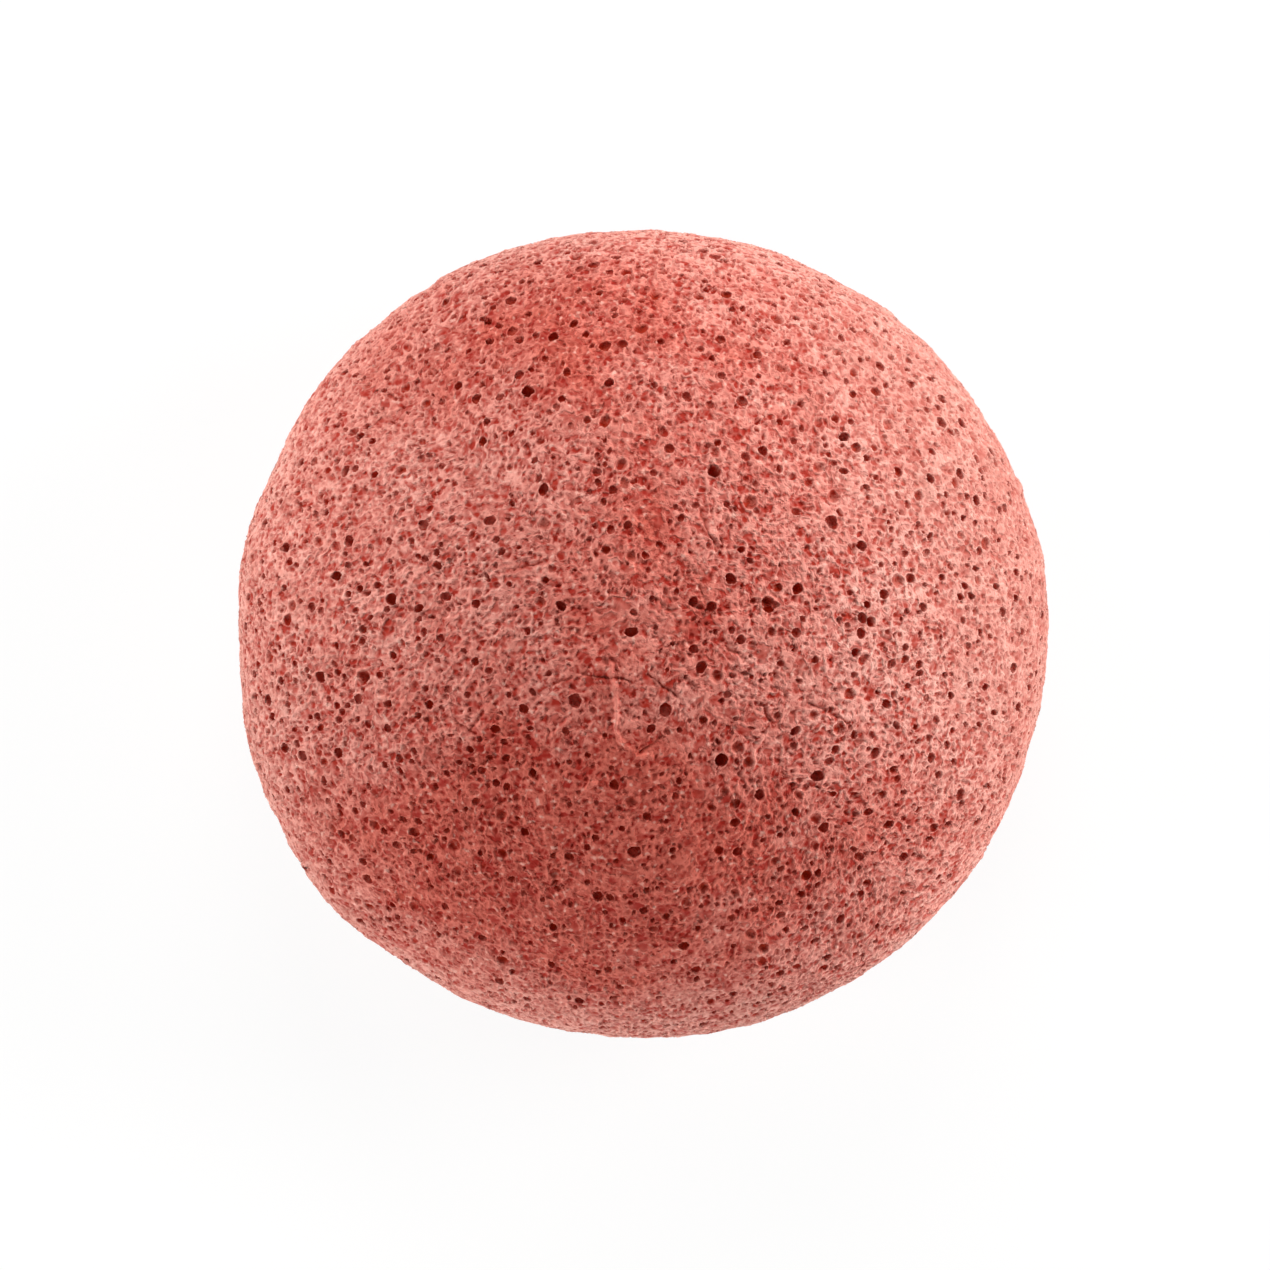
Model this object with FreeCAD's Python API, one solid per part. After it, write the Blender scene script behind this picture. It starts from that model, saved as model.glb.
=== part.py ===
"""Half-ball konjac sponge, modelled as it grew in its mould.

The puff is one moulded body of konjac foam. Its foam has three zones, one node each: a tight skin
that formed against the mould's cup, a tight skin that formed over the open flat side, and the open
foam inside them. The zones seat face to face. The largest open cells are cut into the two skins.

The origin is the middle of the flat side, on the surface that the puff stands on. +Z runs up through
the crown. Lengths are in millimetres. Every zone is an outline of arcs and lines set round Z. Its arcs
are stepped into short bands, and each band has flat sides, which keeps the number of facets low.
"""

import FreeCAD
import Part

import math
import os

# Outer form, from the crown down to the flat side
RIM_RADIUS = 40.0  # widest radius, where the mould's lip was
CROWN_RISE = 30.0  # from the widest ring up to the crown
SHOULDER_RADIUS = 22.0  # arc from the widest ring up to the crown's flatter arc
FOOT_ROUND = 10.0  # arc from the widest ring down to the flat side
FOOT_RING_WIDTH = 6.0  # flat ring that the puff stands on
DISH_DEPTH = 1.5  # sunken middle of the flat side, where the gel shrank

# Foam zones
SKIN_WALL = 2.4

# Flat sides round each band
SIDES = 48

# Bands that stand for each arc, first on the outside and then on the hidden border of the core
CROWN_BAND_COUNTS = (6, 3)
SHOULDER_BAND_COUNTS = (5, 2)
FOOT_BAND_COUNTS = (5, 2)
DISH_BAND_COUNTS = (2, 1)

# Open cells, each a many-sided cup that widens below its mouth, as foam cells do
LARGE_CELL_MOUTH = 1.7  # long way across
MIDDLE_CELL_MOUTH = 1.3
SMALL_CELL_MOUTH = 1.0
CELL_SIDES = 7
CELL_DEPTH_SHARES = (-0.4, -0.2, 0.0, 0.4, 0.8, 0.95)  # of the mouth's width, down from the surface
CELL_WIDTH_SHARES = (0.0, 1.0, 1.0, 1.2, 0.65, 0.0)  # of the mouth's width, at those depths
CELL_STRETCH_SHARE = 1.25  # long way across a cell over its short way
FLANK_CELL_COUNT = 26
FLANK_CELL_DEGREES = (12.0, 48.0)  # lowest and highest, above the widest ring
FLAT_SIDE_CELL_COUNT = 26
FOOT_ROUND_CELL_COUNT = 14
FOOT_ROUND_CELL_DEGREES = (30.0, 55.0)  # below the widest ring, by turns
GOLDEN_ANGLE = math.pi * (3.0 - math.sqrt(5.0))

# Cells of the dome, as columns and rows of the reference picture, which looks straight down on the crown
PICTURE_CENTRE_PX = (641, 634)
PICTURE_RADIUS_PX = 406
PICTURE_DISTANCE_SHARE = 15.0  # from the eye to the widest ring, over the widest radius
LARGE_CELLS_PX = (
    (528, 392), (609, 384), (519, 339), (605, 347), (423, 525), (337, 576), (391, 599), (561, 606),
    (631, 632), (714, 471), (762, 452), (844, 437), (930, 479), (831, 523), (861, 546), (797, 589),
    (767, 604), (865, 622), (363, 677), (320, 677), (575, 701), (523, 709), (532, 773), (338, 753),
    (324, 781), (634, 851), (665, 710), (795, 731), (721, 760), (759, 795), (817, 776), (734, 822),
)
MIDDLE_CELLS_PX = (
    (567, 374), (481, 384), (587, 421), (539, 479), (372, 441), (356, 469), (437, 566), (361, 641),
    (545, 580), (838, 352), (795, 359), (835, 419), (800, 404), (795, 512), (693, 602), (855, 653),
    (388, 704), (418, 716), (506, 758), (496, 783), (511, 880), (804, 929), (672, 850), (835, 750),
    (886, 704), (892, 769), (795, 812), (801, 895), (646, 889), (598, 973), (674, 962), (935, 720),
)
SMALL_CELLS_PX = (
    (505, 460), (326, 502), (400, 539), (540, 538), (624, 294), (539, 287), (429, 372), (793, 441),
    (885, 511), (874, 448), (894, 377), (747, 345), (672, 338), (714, 287), (755, 484), (849, 593),
    (894, 655), (990, 637), (957, 575), (350, 792), (288, 661), (460, 762), (413, 761), (448, 830),
    (394, 829), (553, 856), (586, 815), (480, 853), (625, 934), (611, 768), (425, 689), (761, 705),
    (814, 660), (841, 852), (773, 879), (863, 919), (913, 855), (733, 946), (704, 643),
)


def at(radius, height):
    """Point of the XZ half plane that every profile is drawn in."""
    return FreeCAD.Vector(radius, 0.0, height)


def arc_points(centre, radius, first, last, bands):
    """Points along an arc about a centre, at even steps between two angles above the radius axis."""
    points = []
    for count in range(bands + 1):
        angle = first + (last - first) * count / bands
        points.append(centre + at(math.cos(angle), math.sin(angle)) * radius)
    return points


def shoulder_centre():
    return at(RIM_RADIUS - SHOULDER_RADIUS, FOOT_ROUND)


def crown_radius():
    """Radius of the crown's arc, which meets the shoulder's arc without a crease.

    Its centre lies on the axis. The distance from there to the shoulder's centre is the difference
    of the two radii, and the crown's top is CROWN_RISE above the widest ring.
    """
    across = RIM_RADIUS - SHOULDER_RADIUS
    up = CROWN_RISE - SHOULDER_RADIUS
    return SHOULDER_RADIUS + (across ** 2 + up ** 2) / (2.0 * up)


def crown_centre():
    return at(0.0, FOOT_ROUND + CROWN_RISE - crown_radius())


def shoulder_angle():
    """Angle above the widest ring at which the shoulder's arc meets the crown's arc."""
    towards = shoulder_centre() - crown_centre()
    return math.atan2(towards.z, towards.x)


def foot_centre():
    return at(RIM_RADIUS - FOOT_ROUND, FOOT_ROUND)


def dish_edge():
    """Radius at which the foot ring ends and the dish starts."""
    return RIM_RADIUS - FOOT_ROUND - FOOT_RING_WIDTH


def dish_centre():
    """Centre of the ball that the dish is a cap of."""
    return at(0.0, (DISH_DEPTH ** 2 - dish_edge() ** 2) / (2.0 * DISH_DEPTH))


def dish_radius():
    return DISH_DEPTH - dish_centre().z


def wall(hidden):
    """Depth below the outside surface: one wall on the core's hidden border, and none outside."""
    return SKIN_WALL if hidden else 0.0


def dome_outline(hidden):
    """Points from the widest ring over the shoulder to the crown, outside or on the core's border."""
    turn = shoulder_angle()
    bands = SHOULDER_BAND_COUNTS[hidden]
    shoulder = arc_points(shoulder_centre(), SHOULDER_RADIUS - wall(hidden), 0.0, turn, bands)
    bands = CROWN_BAND_COUNTS[hidden]
    crown = arc_points(crown_centre(), crown_radius() - wall(hidden), turn, math.pi / 2.0, bands)
    return shoulder + crown[1:-1] + [at(0.0, FOOT_ROUND + CROWN_RISE - wall(hidden))]


def flat_side_outline(hidden):
    """Points from the widest ring round the lower edge, over the foot ring and up the dish to the axis."""
    up = at(0.0, wall(hidden))
    edge_angle = math.atan2(-dish_centre().z, dish_edge())
    bands = FOOT_BAND_COUNTS[hidden]
    foot = arc_points(foot_centre(), FOOT_ROUND - wall(hidden), 0.0, -math.pi / 2.0, bands)
    bands = DISH_BAND_COUNTS[hidden]
    dish = arc_points(dish_centre() + up, dish_radius(), edge_angle, math.pi / 2.0, bands)
    return foot + dish[:-1] + [at(0.0, DISH_DEPTH + wall(hidden))]


def joined(rings):
    """Solid of flat faces from each ring of points to the next one, and from the last to the first.

    A ring that has shrunk onto its axis holds one point over and over. A face beside it is a triangle,
    and between two such rings there is none.
    """
    faces = []
    for ring, after in zip(rings, rings[1:] + rings[:1]):
        for side in range(len(ring)):
            beside = (side + 1) % len(ring)
            corners = []
            for corner in (ring[side], ring[beside], after[beside], after[side]):
                if corner not in corners:
                    corners.append(corner)
            if len(corners) > 2:
                faces.append(Part.Face(Part.makePolygon(corners + corners[:1])))
    return Part.makeSolid(Part.makeShell(faces))


def set_round(outline):
    """Solid that a closed outline gives when each of its points becomes a ring of SIDES points about Z."""
    rings = []
    for point in outline:
        ring = []
        for side in range(SIDES):
            around = side * 2.0 * math.pi / SIDES
            ring.append(FreeCAD.Vector(point.x * math.cos(around), point.x * math.sin(around), point.z))
        rings.append(ring)
    return joined(rings)


def dome_shell():
    """Skin of the mould's cup: one wall thick, from the widest ring over the crown."""
    return set_round(dome_outline(False) + dome_outline(True)[::-1])


def base_shell():
    """Skin of the open side: a shallow tray that closes the dome from below."""
    return set_round(flat_side_outline(False) + flat_side_outline(True)[::-1])


def core_body():
    """Open foam that fills both skins."""
    return set_round(dome_outline(True) + flat_side_outline(True)[:0:-1])


def open_cell(mouth, place, outward, turn):
    """Cup with flat sides that breaks through the surface at a place.

    Its rings are stretched polygons square to the surface, and the first and last are points.
    """
    level = FreeCAD.Vector(0.0, 1.0, 0.0).cross(outward).normalize()
    slope = outward.cross(level)
    long_way = level * math.cos(turn) + slope * math.sin(turn)
    short_way = outward.cross(long_way) / CELL_STRETCH_SHARE
    rings = []
    for depth, width in zip(CELL_DEPTH_SHARES, CELL_WIDTH_SHARES):
        middle = place - outward * (depth * mouth)
        radius = width * mouth / 2.0
        ring = []
        for side in range(CELL_SIDES):
            angle = side * 2.0 * math.pi / CELL_SIDES
            ring.append(middle + (long_way * math.cos(angle) + short_way * math.sin(angle)) * radius)
        rings.append(ring)
    return joined(rings)


def turned_place(centre, radius, angle, around):
    """Point of the surface that an arc of the profile sweeps, and its outward normal."""
    outward = FreeCAD.Vector(
        math.cos(angle) * math.cos(around),
        math.cos(angle) * math.sin(around),
        math.sin(angle),
    )
    middle = FreeCAD.Vector(centre.x * math.cos(around), centre.x * math.sin(around), centre.z)
    return middle + outward * radius, outward


def dome_place(radius, around):
    """Point of the dome and its outward normal, at a distance from the axis and an angle about it."""
    if radius < crown_radius() * math.cos(shoulder_angle()):
        return turned_place(crown_centre(), crown_radius(), math.acos(radius / crown_radius()), around)
    beyond = (radius - shoulder_centre().x) / SHOULDER_RADIUS
    return turned_place(shoulder_centre(), SHOULDER_RADIUS, math.acos(beyond), around)


def picture_place(column, row):
    """Point of the dome and its outward normal, seen at a column and row of the picture.

    The dome nears the eye towards the crown and looks larger there, so its places are drawn in.
    """
    east = (column - PICTURE_CENTRE_PX[0]) / PICTURE_RADIUS_PX
    north = (PICTURE_CENTRE_PX[1] - row) / PICTURE_RADIUS_PX
    around = math.atan2(north, east)
    seen = RIM_RADIUS * math.hypot(east, north)
    rise = dome_place(seen, around)[0].z - FOOT_ROUND
    return dome_place(seen * (1.0 - rise / (PICTURE_DISTANCE_SHARE * RIM_RADIUS)), around)


def cells_at(places, mouths):
    """Open cells at places with their outward normals, in sizes by turns, each turned further round."""
    cells = []
    for count, (place, outward) in enumerate(places):
        mouth = mouths[count % len(mouths)]
        cells.append(open_cell(mouth, place, outward, count * GOLDEN_ANGLE))
    return cells


def flank_places():
    """Places on the dome's flank, which climb evenly as they go round by the golden angle."""
    places = []
    lowest, highest = FLANK_CELL_DEGREES
    for count in range(FLANK_CELL_COUNT):
        up = math.radians(lowest + (highest - lowest) * count / FLANK_CELL_COUNT)
        around = (count + 0.5) * GOLDEN_ANGLE
        places.append(turned_place(shoulder_centre(), SHOULDER_RADIUS, up, around))
    return places


def flat_side_places():
    """Places on the flat side, spread evenly by the golden angle."""
    places = []
    reach = RIM_RADIUS - FOOT_ROUND - LARGE_CELL_MOUTH
    for count in range(FLAT_SIDE_CELL_COUNT):
        radius = reach * math.sqrt((count + 0.5) / FLAT_SIDE_CELL_COUNT)
        around = (count + 0.5) * GOLDEN_ANGLE
        place = FreeCAD.Vector(radius * math.cos(around), radius * math.sin(around), 0.0)
        if radius < dish_edge():
            place.z = dish_centre().z + math.sqrt(dish_radius() ** 2 - radius ** 2)
        places.append((place, FreeCAD.Vector(0.0, 0.0, -1.0)))
    return places


def foot_round_places():
    """Places round the rounded lower edge, at two heights by turns."""
    places = []
    for count in range(FOOT_ROUND_CELL_COUNT):
        around = (count + 0.5) * 2.0 * math.pi / FOOT_ROUND_CELL_COUNT
        down = math.radians(FOOT_ROUND_CELL_DEGREES[count % 2])
        places.append(turned_place(foot_centre(), FOOT_ROUND, -down, around))
    return places


def picture_places(pixels):
    return [picture_place(column, row) for column, row in pixels]


def dome_cells():
    return (
        cells_at(picture_places(LARGE_CELLS_PX), [LARGE_CELL_MOUTH])
        + cells_at(picture_places(MIDDLE_CELLS_PX), [MIDDLE_CELL_MOUTH])
        + cells_at(picture_places(SMALL_CELLS_PX), [SMALL_CELL_MOUTH])
        + cells_at(flank_places(), [MIDDLE_CELL_MOUTH, LARGE_CELL_MOUTH])
    )


def base_cells():
    return (
        cells_at(flat_side_places(), [LARGE_CELL_MOUTH, MIDDLE_CELL_MOUTH])
        + cells_at(foot_round_places(), [MIDDLE_CELL_MOUTH])
    )


def save(node, shape):
    shape.exportStep(os.path.join("parts", node + ".step"))
    print(node, "valid", shape.isValid(), "solids", len(shape.Solids), "volume", round(shape.Volume, 1))


os.makedirs("parts", exist_ok=True)
save("dome_skin", dome_shell().cut(dome_cells()))
save("base_skin", base_shell().cut(base_cells()))
save("foam_core", core_body())
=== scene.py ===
"""Konjac sponge: the foam surfaces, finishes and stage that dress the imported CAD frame.

Every surface is worked out with numpy from two parameters on a grid. Lengths are in metres and in the
CAD's own place: the origin is the middle of the flat side, and +Z runs up through the crown.
"""

import itertools
import math

import bpy
import numpy as np
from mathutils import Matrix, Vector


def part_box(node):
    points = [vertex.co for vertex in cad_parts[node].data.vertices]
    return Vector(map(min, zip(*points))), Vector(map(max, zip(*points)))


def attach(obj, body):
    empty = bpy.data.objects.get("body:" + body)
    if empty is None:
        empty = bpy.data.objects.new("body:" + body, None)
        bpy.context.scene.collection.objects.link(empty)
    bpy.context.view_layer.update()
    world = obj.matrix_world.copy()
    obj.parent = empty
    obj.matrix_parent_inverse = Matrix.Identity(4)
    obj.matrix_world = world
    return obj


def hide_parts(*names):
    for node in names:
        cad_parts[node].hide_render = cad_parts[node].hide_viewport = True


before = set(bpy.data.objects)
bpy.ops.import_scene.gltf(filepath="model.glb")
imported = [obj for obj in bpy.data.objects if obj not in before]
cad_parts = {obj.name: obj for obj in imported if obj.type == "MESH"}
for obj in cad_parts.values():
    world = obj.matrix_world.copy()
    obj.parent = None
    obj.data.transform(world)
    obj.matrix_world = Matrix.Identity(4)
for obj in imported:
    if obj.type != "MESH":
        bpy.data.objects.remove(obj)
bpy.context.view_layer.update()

MM = 0.001

bl_info = {
    "name": "Konjac sponge",
    "version": (1, 0, 0),
    "blender": (4, 5, 0),
    "location": "3D View > Sidebar > Konjac sponge",
    "description": "Half-ball puff of konjac foam with open cells, on a pale studio floor",
    "category": "Object",
}

# Reference picture: it looks straight down on the crown. Columns and rows are its pixels.
PICTURE_WIDTH_PX = 1270
PICTURE_CENTRE_PX = (641, 634)
PICTURE_RADIUS_PX = 406
EYE_HEIGHT = 600 * MM  # over the widest ring, in the picture and for the camera

# Large open cells of the dome: column, row and widest opening in pixels
LARGE_CELLS_PX = (
    (528, 392, 12), (609, 384, 10), (519, 339, 11), (605, 347, 12), (423, 525, 11), (337, 576, 12),
    (391, 599, 11), (561, 606, 11), (631, 632, 12), (714, 471, 13), (762, 452, 10), (844, 437, 11),
    (930, 479, 10), (831, 523, 14), (861, 546, 10), (797, 589, 11), (767, 602, 12), (861, 618, 10),
    (870, 622, 11), (363, 677, 14), (320, 677, 12), (575, 701, 13), (523, 709, 10), (532, 773, 10),
    (338, 753, 11), (324, 781, 10), (634, 851, 12), (665, 710, 12), (795, 731, 11), (721, 760, 13),
    (759, 795, 11), (817, 776, 12), (734, 822, 10), (768, 609, 10), (839, 513, 9),
)
MIDDLE_CELLS_PX = (
    (567, 374, 9), (481, 384, 8), (587, 421, 8), (539, 479, 9), (372, 441, 8), (356, 469, 8), (437, 566, 9),
    (361, 641, 8), (545, 580, 8), (838, 352, 9), (795, 359, 8), (835, 419, 9), (800, 404, 8), (795, 512, 9),
    (693, 602, 10), (855, 653, 9), (388, 704, 9), (418, 716, 8), (506, 758, 8), (496, 783, 8),
    (511, 880, 8), (804, 929, 9), (672, 850, 8), (835, 750, 9), (886, 704, 10), (892, 769, 9),
    (795, 812, 9), (801, 895, 9), (646, 889, 8), (598, 973, 8), (674, 962, 8), (935, 720, 9),
    (777, 588, 9), (711, 607, 10), (774, 605, 9), (469, 275, 10),
)
SMALL_CELLS_PX = (
    (505, 460, 6), (326, 502, 7), (400, 539, 6), (540, 538, 6), (624, 294, 7), (539, 287, 6), (429, 372, 7),
    (793, 441, 7), (885, 511, 6), (874, 448, 7), (894, 377, 6), (747, 345, 6), (672, 338, 7), (714, 287, 6),
    (755, 484, 7), (849, 593, 7), (894, 655, 6), (990, 637, 7), (957, 575, 6), (350, 792, 7), (288, 661, 6),
    (460, 762, 7), (413, 761, 6), (448, 830, 7), (394, 829, 6), (553, 856, 7), (586, 815, 6), (480, 853, 7),
    (625, 934, 6), (611, 768, 6), (425, 689, 7), (761, 705, 6), (814, 660, 7), (841, 852, 6), (773, 879, 7),
    (863, 919, 6), (913, 855, 7), (733, 946, 6), (704, 643, 6), (818, 571, 7), (676, 592, 7), (753, 601, 7),
    (760, 681, 6), (735, 719, 6), (679, 730, 6), (693, 619, 6), (667, 670, 5), (590, 560, 5),
)

# Hairline cracks and raised strands of the dome, as lines of picture columns and rows
CRACKS_PX = (
    ((533, 700), (547, 687), (563, 679), (582, 674), (606, 675), (628, 681)),
    ((648, 674), (660, 682), (673, 690), (688, 703)),
    ((737, 476), (747, 481), (756, 484)),
    ((703, 508), (706, 524), (713, 540), (717, 552)),
    ((772, 674), (777, 688), (786, 698)),
    ((761, 706), (768, 717), (778, 726)),
    ((806, 704), (824, 711), (842, 722), (860, 742)),
    ((716, 640), (730, 648), (743, 661)),
    ((733, 668), (741, 672), (749, 677)),
    ((880, 632), (890, 642), (896, 656)),
    ((447, 717), (459, 725), (471, 732)),
    ((470, 730), (477, 720), (483, 712)),
    ((478, 769), (488, 760), (499, 757)),
    ((489, 816), (497, 808), (504, 800)),
    ((640, 752), (652, 744), (664, 735)),
    ((500, 624), (508, 617), (517, 614)),
    ((512, 571), (527, 567), (542, 562)),
    ((656, 600), (664, 609), (676, 615)),
    ((690, 566), (699, 580), (703, 596)),
    ((806, 546), (815, 553), (820, 562)),
)
STRANDS_PX = (
    ((611, 664), (614, 688), (617, 712), (616, 730), (623, 745), (637, 755), (652, 758)),
    ((706, 671), (718, 683), (728, 697), (737, 712), (740, 726)),
    ((681, 686), (692, 672), (706, 659)),
    ((551, 736), (559, 729), (568, 721)),
    ((705, 528), (714, 534), (724, 536)),
    ((752, 768), (754, 750), (762, 738)),
    ((626, 540), (628, 556), (634, 571)),
    ((576, 797), (584, 790), (594, 784)),
    ((657, 590), (658, 604), (652, 619)),
    ((690, 640), (684, 655), (690, 668)),
)

# Patches of clay red that also carry painted shade, strongest in front where the lamps reach least: place and
# half width in millimetres, and how much
CLAY_AND_SHADE_PATCHES = (
    (-4.5, -22, 22, 14, 1.27), (1, 5, 18, 16, 0.74), (-8, 29, 24, 10, 0.80), (22, -22, 12, 12, 0.30),
    (-27, 4, 14, 18, 0.36), (-20, -18, 10, 10, 0.24), (37, 6, 8, 24, 0.22), (16, 16, 10, 10, 0.18),
)
CLAY_START_SHARE = 0.5  # height where the patches begin, as a share of the widest ring's
CLAY_RISE_SHARE = 2.0  # further height over which they grow to full
CLAY_LOW_GAIN = 0.3  # how much more clay lies at the bottom than at the crown
CLAY_PATCHY = (7.0, 0.35)  # noise: spacing in millimetres and strength
CLAY_SPOTTY = (2.5, 0.16)

# Walls of one pale colour: in patches where the foam dried so, and as painted light on the side towards +X,
# where the right lamp stands
DRY_PATCH_MM = 3.6
DRY_PATCH_SHARE = 0.32
LIT_SIDE_SHARE = 0.45
LIT_SIDE_DEGREES = 22.0  # about Z from +X
LIT_SIDE_START_SHARE = 0.45  # of the widest radius, from the axis
LIT_SIDE_RISE_SHARE = 0.5  # of the widest radius, over which it grows to full

# Uneven outline: degrees about Z from +X, width in degrees, and how far it stands out in millimetres
OUTLINE_BULGES = (
    (221, 8, 0.65), (204, 14, 0.22), (140, 10, 0.2), (88, 18, -0.55), (155, 9, -0.45), (63, 8, -0.18),
    (181, 8, -0.35), (264, 26, -0.27), (312, 14, -0.18), (345, 12, -0.25), (10, 8, 0.12),
)
BULGE_REACH = 15 * MM  # above and below the widest ring

# Dents and gentle waves in millimetres: spacing, height, and the height gained at the widest ring
DENTS = ((16.0, 0.30, 0.0), (5.0, 0.13, 0.0), (2.4, 0.07, 0.11))

# Creases: half widths and greatest heights of the strands and cracks
STRAND_WIDTH = 0.21 * MM
STRAND_HEIGHT = 0.22 * MM
CRACK_WIDTH = 0.15 * MM
CRACK_DEPTH = 0.32 * MM
LINE_REACH = 12 * MM  # from a drawn line's middle, further than any line runs

# Stray creases: spacing in millimetres of the noise whose zeros they follow, their half width in that
# noise, their height, and the spacing, gain and offset of the noise that says where they run
STRAY_STRANDS = (1.9, 0.09, 0.6, 2.6, 2.2, -0.3)
STRAY_CRACKS = (3.0, 0.04, 0.5, 2.4, 2.6, -0.7)

# Kinds of scattered open cell: smallest and largest opening in millimetres, cells per square
# centimetre, depth as a share of the opening, and whether the cell widens below its mouth
SCATTERED_CELLS = (
    (0.75, 1.20, 3.8, 0.66, True),
    (0.52, 0.86, 12.5, 0.70, True),
    (0.60, 1.40, 9.0, 0.32, False),
    (0.36, 0.58, 10.0, 0.75, False),
)
THROWS = 2.0  # for each cell that the table asks for, since many are turned away

# How thick the open cells lie, as shares. The quarters are those left behind and right in front.
CROWDING = {"all": 0.16, "out": 0.38, "behind": 0.18, "sides": 0.68, "right": 0.28, "quarters": 0.3,
            "chance": 0.18}
BELOW_RING_SHARE = 0.6  # stands for the way out under the widest ring
FEWEST_SHARE = 0.12
CROWDING_SPACING = 7 * MM
CROWDING_SEED = 71

# Gaps between open cells: some may run together
CELL_GAP = 0.05 * MM
RING_GAP = 0.3 * MM  # to the widest ring
APART_SHARE = 0.57  # of both openings together
MERGED_SHARE = 0.42
MERGED_CHANCE = 0.25
WIDE_OPENING = 0.95 * MM  # from here on a cell of the picture is deep

# Mouths of the open cells: noise on their edges and floors as spacing and strength, the waver's
# strength, and where the raised lip stands and how wide it is, as shares of the mouth's radius
EDGE_NOISE = (0.45 * MM, 0.12)
FLOOR_NOISE = (0.6 * MM, 0.3)
WAVER = 0.055
WAVER_LOBES = (2, 3, 4, 5)
WAVER_TURN = 6.28  # radians, a random start within about one turn
LIP_PLACE_SHARE = 1.14
LIP_WIDTH_SHARE = 0.16
LIP_HEIGHT = 0.09 * MM
FULL_LIP_OPENING = 0.8 * MM  # smaller cells have a lower lip
CALM_END_SHARE = 1.45  # the fine cells fade out from here in to the mouth
DARK_DEPTH = 0.5 * MM  # a cell's wall is in full shade from here down

# Fine cells: how wide a wall is, which share is deep, and how much deeper those are
WALL_SHARE = 0.42
DEEP_SHARE = 0.025
DEEP_DROP = 2.4
BEND = 0.24 * MM  # of the fine cells' walls
BEND_SPACING = 1.0 * MM

UNEVEN_SPACING = 0.8 * MM  # patches of deeper and flatter cells
LOW_HEIGHT = 30 * MM  # the cells grow deeper from here down
LOW_RISE = 18 * MM  # further down over which they do

FULL_STEPS = 700
FULL_GRID_STEP = 0.09 * MM  # shortest step between points of that grid
TABLE_ROWS = 4096
ARC_SAMPLES = 2000  # points of an outline from which arc lengths are looked up

# Lamps: name, degrees about Z from +X, degrees above the floor, distance and width in metres, and watts
LAMPS = (
    ("right", 15.0, 17.0, 0.9, 0.50, 8.0),
    ("back", 88.0, 29.0, 0.9, 0.50, 4.2),
    ("back_left", 137.0, 15.0, 0.9, 0.44, 2.95),
    ("left", 200.0, 12.0, 0.9, 0.40, 4.1),
    ("front", 285.0, 8.0, 0.9, 0.26, 2.8),
    ("top", 200.0, 62.0, 0.9, 0.50, 0.7),
)
FLOOR_REACH = 3.0  # metres to each side
FLOOR_DROP = 0.05 * MM  # keeps the floor clear of the foot ring
SHADOW_REACH = (60 * MM, 200 * MM)  # the floor turns to plain white between these distances
SENSOR_WIDTH_MM = 36.0

# Foam finish: spacings of noises, and how much each thing turns a wall from clay red to pale
WEB_SPACING = 1.4 * MM
WEB_BAND = 0.13  # of that noise, from the middle of a thin wall to its edge
WEB_BUMP = 0.13 * MM
MOTTLE_SPACING = 1.6 * MM
MOTTLE_PALE = (-0.495, -0.165)  # where the walls dried thin and thick
GRAIN_SPACING = 0.5 * MM
RIDGE_PALE, WEB_PALE, GRAIN_PALE = 0.54, 0.66, 0.62
GLINT_GRAIN = (0.68, 0.84)  # where the painted glints start and where they are full
GLINT_SHARE = 0.55
ROUGHNESS = (0.62, 0.95)  # of a wall and of a hollow

# UV maps: the margin round a map, and its lower strip for the hidden fan
UV_MARGIN = 0.004
UV_STRIP = 0.03


def linear(code):
    """Linear colour and full alpha of an sRGB hex code."""
    values = [int(code[place:place + 2], 16) / 255 for place in (1, 3, 5)]
    return [v / 12.92 if v <= 0.04045 else ((v + 0.055) / 1.055) ** 2.4 for v in values] + [1.0]


class KonjacForm(bpy.types.PropertyGroup):
    """Outer form of the puff, as the CAD has it."""

    rim_radius: bpy.props.FloatProperty(
        name="Widest radius", description="Radius of the widest ring, at the mould's lip",
        default=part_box("dome_skin")[1].x, unit="LENGTH")
    rim_height: bpy.props.FloatProperty(
        name="Ring height", description="Height of the widest ring, and radius of the lower edge below it",
        default=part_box("base_skin")[1].z, unit="LENGTH")
    crown_height: bpy.props.FloatProperty(
        name="Crown height", description="Height of the crown above the floor",
        default=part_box("dome_skin")[1].z, unit="LENGTH")
    shoulder_radius: bpy.props.FloatProperty(
        name="Shoulder radius", description="Arc from the widest ring up to the crown's flatter arc",
        default=22 * MM, unit="LENGTH")
    foot_ring_width: bpy.props.FloatProperty(
        name="Foot ring width", description="Width of the flat ring that the puff stands on",
        default=6 * MM, unit="LENGTH")
    dish_depth: bpy.props.FloatProperty(
        name="Dish depth", description="Depth of the sunken middle of the flat side",
        default=1.5 * MM, unit="LENGTH")
    unevenness: bpy.props.FloatProperty(
        name="Unevenness", description="Share of the bulges and dents that handling and drying left",
        default=1.0, min=0.0, max=2.0, subtype="FACTOR")


class KonjacCells(bpy.types.PropertyGroup):
    """Cells of the foam."""

    fine_size: bpy.props.FloatProperty(
        name="Fine cell size",
        description="Spacing of the fine cells that cover the whole surface",
        default=0.70 * MM, unit="LENGTH", precision=5)
    fine_depth: bpy.props.FloatProperty(
        name="Fine cell depth", description="Depth of a fine cell's bowl below its ridges",
        default=0.29 * MM, unit="LENGTH", precision=5)
    open_share: bpy.props.FloatProperty(
        name="Open share", description="Share of the scattered open cells that are made",
        default=1.0, min=0.0, max=2.0, subtype="FACTOR")
    steps: bpy.props.IntProperty(
        name="Grid steps", description="Grid steps across each piece of foam",
        default=FULL_STEPS)
    seed: bpy.props.IntProperty(
        name="Seed", description="Number that every random choice starts from", default=7)


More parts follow.
